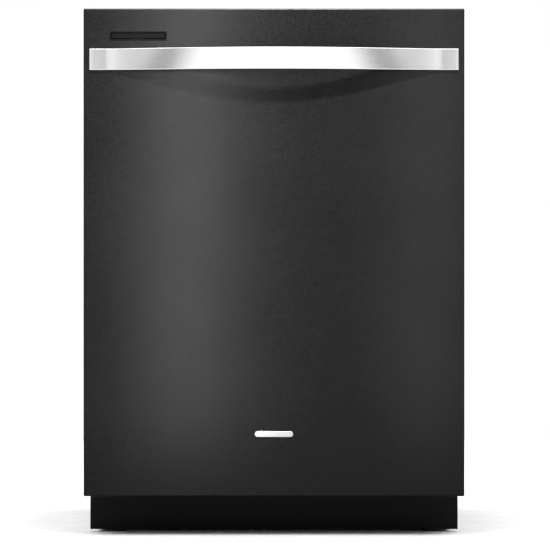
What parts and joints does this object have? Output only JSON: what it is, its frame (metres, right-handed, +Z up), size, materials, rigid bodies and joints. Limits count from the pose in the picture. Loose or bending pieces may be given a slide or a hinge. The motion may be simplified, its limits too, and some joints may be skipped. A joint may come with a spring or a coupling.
{
  "type": "built-in dishwasher",
  "caption": "Built-in dishwasher with a flat black metallic drop-down door, bowed full-width bar handle, sliding racks, spray arms and a recessed kick plate.",
  "frame": {"origin": "middle of the whole object's footprint, on the floor under its feet", "axes": "+Z up, -Y out of the door face towards the user, +X to the user's right"},
  "size_m": [0.606, 0.667, 0.838],
  "materials": {
    "stainless_tub": "brushed stainless sheet",
    "galvanised": "zinc plated steel",
    "slides_steel": "bright drawn rail",
    "wrap_black": "pressed fibre blanket with a dark film",
    "base_plastic": "filled polypropylene, fine grain",
    "kick_black": "matt black powder coat",
    "door_black_steel": "charcoal metallic coat with fine flake",
    "bar_satin": "satin polished along its length",
    "vent_black": "fine-grained black",
    "console_black": "semi-gloss black",
    "button_grey": "satin grey",
    "display_gloss": "smoked clear window",
    "badge_metal": "satin, blank",
    "seal_rubber": "soft ribbed rubber",
    "arm_grey": "satin grey polypropylene",
    "tube_white": "natural polypropylene",
    "element_dark": "heat-tinted alloy sheath",
    "pump_grey": "glass-filled nylon",
    "filter_grey": "mesh and grey nylon",
    "dispenser_grey": "satin grey",
    "cap_blue": "satin blue",
    "rack_nylon": "nylon-coated wire",
    "wheel_grey": "acetal",
    "basket_grey": "polypropylene"
  },
  "bodies": {
    "cabinet": {"tub": "stainless_tub", "insulation_wrap": "wrap_black", "base_frame": "base_plastic", "kick_plate": "kick_black", "counter_brackets": "galvanised", "hinge_brackets": "galvanised", "door_springs": "galvanised", "door_seal": "seal_rubber", "strike_plate": "galvanised", "rack_rails": "slides_steel", "feed_tube": "tube_white", "heating_element": "element_dark", "sump": "base_plastic", "filter_plate": "stainless_tub", "circulation_pump": "pump_grey", "drain_pump": "pump_grey", "inlet_valve": "tube_white", "drain_port": "pump_grey", "junction_box": "galvanised"},
    "door": {"door_panel": "door_black_steel", "door_liner": "stainless_tub", "door_pad": "wrap_black", "hinge_arms": "galvanised", "console": "console_black", "display_window": "display_gloss", "latch_body": "base_plastic", "handle_bar": "bar_satin", "handle_studs": "galvanised", "vent_bezel": "vent_black", "vent_duct": "base_plastic", "dispenser_body": "dispenser_grey", "liner_screws": "galvanised", "badge": "badge_metal"},
    "upper_rack": {"upper_rack": "rack_nylon", "rack_slides": "slides_steel", "manifold": "tube_white"},
    "lower_rack": {"lower_rack": "rack_nylon"},
    "silverware_basket": {"silverware_basket": "basket_grey"},
    "filter_cup": {"filter_cup": "filter_grey"},
    "float": {"float": "tube_white"},
    "lower_spray_arm": {"lower_spray_arm": "arm_grey"},
    "top_spray_arm": {"top_spray_arm": "arm_grey"},
    "middle_spray_arm": {"middle_spray_arm": "arm_grey"},
    "latch_claw": {"latch_claw": "galvanised"},
    "dispenser_lid": {"dispenser_lid": "dispenser_grey"},
    "rinse_cap": {"rinse_cap": "cap_blue"},
    "vent_flap": {"vent_flap": "vent_black"},
    "cup_shelf": {"cup_shelf": "rack_nylon"},
    "power_button": {"power_button": "button_grey"},
    "cycle_button": {"cycle_button": "button_grey"},
    "options_button": {"options_button": "button_grey"},
    "start_button": {"start_button": "button_grey"},
    "leg_front_left": {"leg_front_left": "galvanised"},
    "leg_front_right": {"leg_front_right": "galvanised"},
    "leg_back_left": {"leg_back_left": "galvanised"},
    "leg_back_right": {"leg_back_right": "galvanised"},
    "wheel_front_left": {"wheel_front_left": "wheel_grey"},
    "wheel_front_right": {"wheel_front_right": "wheel_grey"},
    "wheel_back_left": {"wheel_back_left": "wheel_grey"},
    "wheel_back_right": {"wheel_back_right": "wheel_grey"}
  },
  "joints": [
    {"name": "door_hinge", "type": "hinge", "parent": "cabinet", "child": "door", "pos_m": [0, -0.2585, 0.09], "axis": [1, 0, 0], "range_deg": [0, 90]},
    {"name": "upper_rack_slide", "type": "slide", "parent": "cabinet", "child": "upper_rack", "axis": [0, -1, 0], "range_m": [0, 0.425]},
    {"name": "lower_rack_slide", "type": "slide", "parent": "cabinet", "child": "lower_rack", "axis": [0, -1, 0], "range_m": [0, 0.189]},
    {"name": "basket_lift", "type": "slide", "parent": "lower_rack", "child": "silverware_basket", "axis": [0, 0, 1], "range_m": [0, 0.12]},
    {"name": "lower_arm_spin", "type": "hinge", "parent": "cabinet", "child": "lower_spray_arm", "pos_m": [0, 0.0439, 0.1502], "axis": [0, 0, 1], "continuous": true},
    {"name": "top_arm_spin", "type": "hinge", "parent": "cabinet", "child": "top_spray_arm", "pos_m": [0, 0.0439, 0.7768], "axis": [0, 0, 1], "continuous": true},
    {"name": "middle_arm_spin", "type": "hinge", "parent": "upper_rack", "child": "middle_spray_arm", "pos_m": [0, 0.0439, 0.4652], "axis": [0, 0, 1], "continuous": true},
    {"name": "filter_turn", "type": "hinge", "parent": "cabinet", "child": "filter_cup", "pos_m": [0.095, 0.1289, 0.1132], "axis": [0, 0, 1], "range_deg": [0, 90]},
    {"name": "float_lift", "type": "slide", "parent": "cabinet", "child": "float", "axis": [0, 0, 1], "range_m": [0, 0.008]},
    {"name": "latch_claw_turn", "type": "hinge", "parent": "door", "child": "latch_claw", "pos_m": [0, -0.2485, 0.804], "axis": [1, 0, 0], "range_deg": [0, 6]},
    {"name": "dispenser_lid_turn", "type": "hinge", "parent": "door", "child": "dispenser_lid", "pos_m": [-0.045, -0.227, 0.358], "axis": [-1, 0, 0], "range_deg": [0, 95]},
    {"name": "rinse_cap_turn", "type": "hinge", "parent": "door", "child": "rinse_cap", "pos_m": [0.052, -0.2325, 0.428], "axis": [0, 1, 0], "range_deg": [0, 90]},
    {"name": "vent_flap_turn", "type": "hinge", "parent": "door", "child": "vent_flap", "pos_m": [-0.216, -0.2625, 0.7653], "axis": [-1, 0, 0], "range_deg": [0, 75]},
    {"name": "cup_shelf_fold", "type": "hinge", "parent": "upper_rack", "child": "cup_shelf", "pos_m": [-0.2458, 0.0439, 0.5902], "axis": [0, -1, 0], "range_deg": [0, 85]},
    {"name": "power_button_press", "type": "slide", "parent": "door", "child": "power_button", "axis": [0, 0, -1], "range_m": [0, 0.001], "stiffness_N_per_m": 600},
    {"name": "cycle_button_press", "type": "slide", "parent": "door", "child": "cycle_button", "axis": [0, 0, -1], "range_m": [0, 0.001], "stiffness_N_per_m": 600},
    {"name": "options_button_press", "type": "slide", "parent": "door", "child": "options_button", "axis": [0, 0, -1], "range_m": [0, 0.001], "stiffness_N_per_m": 600},
    {"name": "start_button_press", "type": "slide", "parent": "door", "child": "start_button", "axis": [0, 0, -1], "range_m": [0, 0.001], "stiffness_N_per_m": 600},
    {"name": "leg_front_left_adjust", "type": "slide", "parent": "cabinet", "child": "leg_front_left", "axis": [0, 0, -1], "range_m": [0, 0.03]},
    {"name": "leg_front_right_adjust", "type": "slide", "parent": "cabinet", "child": "leg_front_right", "axis": [0, 0, -1], "range_m": [0, 0.03]},
    {"name": "leg_back_left_adjust", "type": "slide", "parent": "cabinet", "child": "leg_back_left", "axis": [0, 0, -1], "range_m": [0, 0.03]},
    {"name": "leg_back_right_adjust", "type": "slide", "parent": "cabinet", "child": "leg_back_right", "axis": [0, 0, -1], "range_m": [0, 0.03]},
    {"name": "wheel_front_left_roll", "type": "hinge", "parent": "lower_rack", "child": "wheel_front_left", "pos_m": [-0.2578, -0.1635, 0.17], "axis": [1, 0, 0], "range_deg": [0, 545]},
    {"name": "wheel_front_right_roll", "type": "hinge", "parent": "lower_rack", "child": "wheel_front_right", "pos_m": [0.2578, -0.1635, 0.17], "axis": [1, 0, 0], "range_deg": [0, 545]},
    {"name": "wheel_back_left_roll", "type": "hinge", "parent": "lower_rack", "child": "wheel_back_left", "pos_m": [-0.2578, 0.2233, 0.17], "axis": [1, 0, 0], "range_deg": [0, 545]},
    {"name": "wheel_back_right_roll", "type": "hinge", "parent": "lower_rack", "child": "wheel_back_right", "pos_m": [0.2578, 0.2233, 0.17], "axis": [1, 0, 0], "range_deg": [0, 545]}
  ],
  "couplings": [
    {"joint": "upper_rack_slide", "follows": "door_hinge", "m_per_rad": 0.27},
    {"joint": "lower_rack_slide", "follows": "door_hinge", "m_per_rad": 0.12},
    {"joint": "wheel_front_left_roll", "follows": "door_hinge", "ratio": 6},
    {"joint": "wheel_front_right_roll", "follows": "door_hinge", "ratio": 6},
    {"joint": "wheel_back_left_roll", "follows": "door_hinge", "ratio": 6},
    {"joint": "wheel_back_right_roll", "follows": "door_hinge", "ratio": 6}
  ]
}
